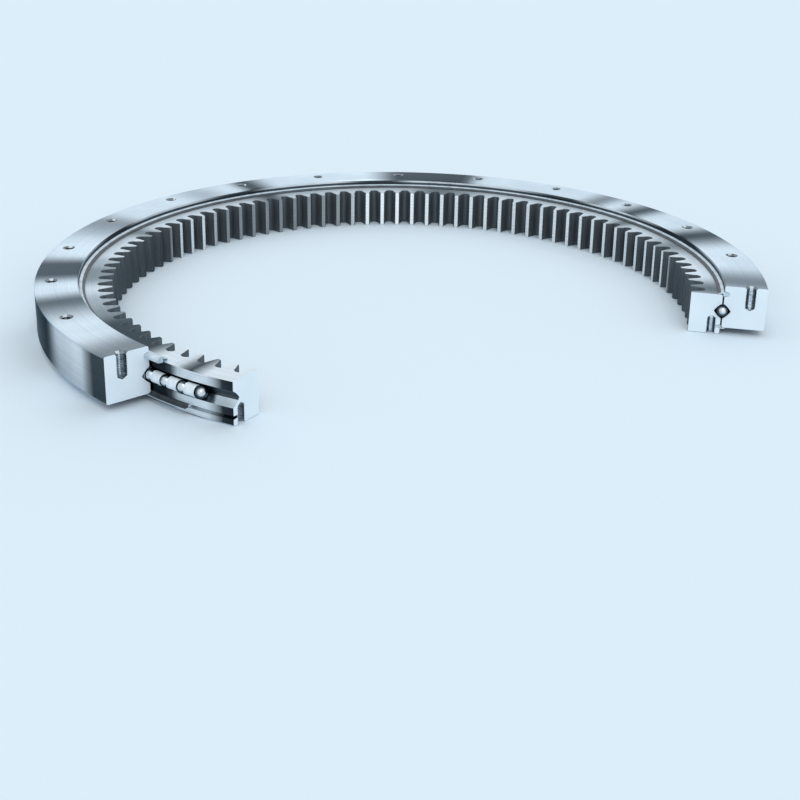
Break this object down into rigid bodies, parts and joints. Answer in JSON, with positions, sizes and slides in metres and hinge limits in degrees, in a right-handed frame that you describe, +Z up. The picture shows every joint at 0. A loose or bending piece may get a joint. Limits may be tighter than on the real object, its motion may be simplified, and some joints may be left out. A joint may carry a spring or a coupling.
{
  "type": "slewing ring bearing",
  "caption": "Sawn-open ball slewing ring with internal teeth: plain bolted outer ring, toothed inner ring, one row of balls and spacers, lip seals above and below.",
  "frame": {"origin": "on the floor plane that the toothed inner ring stands on, at the middle of the sample's overall length and width; the ring's axis is 47.6 mm from it, towards -Y", "axes": "+Z up along the ring's axis, +X across the full outside diameter, -Y towards the sawn-open front"},
  "size_m": [0.9598, 0.8646, 0.066],
  "materials": {
    "ring_steel": "turned and ground, bright, with fine concentric tool marks",
    "pin_steel": "ground",
    "nipple_steel": "zinc plated",
    "ball_steel": "polished bearing steel",
    "seal_rubber": "matt grey nitrile rubber, worn pale along its lips",
    "spacer_plastic": "natural polyamide, matt"
  },
  "bodies": {
    "inner_ring": {"inner_ring": "ring_steel", "lower_seal": "seal_rubber"},
    "outer_ring": {"outer_ring": "ring_steel", "upper_seal": "seal_rubber", "filling_plug": "ring_steel", "taper_pin": "pin_steel", "grease_nipple_1": "nipple_steel", "grease_nipple_2": "nipple_steel", "grease_nipple_3": "nipple_steel", "grease_nipple_4": "nipple_steel"},
    "ball_row": {"ball_row_hidden": "ball_steel", "ball_01": "ball_steel", "ball_69": "ball_steel", "ball_70": "ball_steel", "ball_71": "ball_steel", "ball_72": "ball_steel", "ball_73": "ball_steel", "ball_74": "ball_steel", "spacer_01": "spacer_plastic", "spacer_68": "spacer_plastic", "spacer_69": "spacer_plastic", "spacer_70": "spacer_plastic", "spacer_71": "spacer_plastic", "spacer_72": "spacer_plastic", "spacer_73": "spacer_plastic"}
  },
  "joints": [
    {"name": "slew", "type": "hinge", "parent": "inner_ring", "child": "outer_ring", "pos_m": [0, -0.04759, 0.0315], "axis": [0, 0, 1], "range_deg": [0, 8]},
    {"name": "row_travel", "type": "hinge", "parent": "inner_ring", "child": "ball_row", "pos_m": [0, -0.04759, 0.0315], "axis": [0, 0, 1], "range_deg": [0, 4.1]}
  ],
  "couplings": [
    {"joint": "row_travel", "follows": "slew", "ratio": 0.5067}
  ]
}
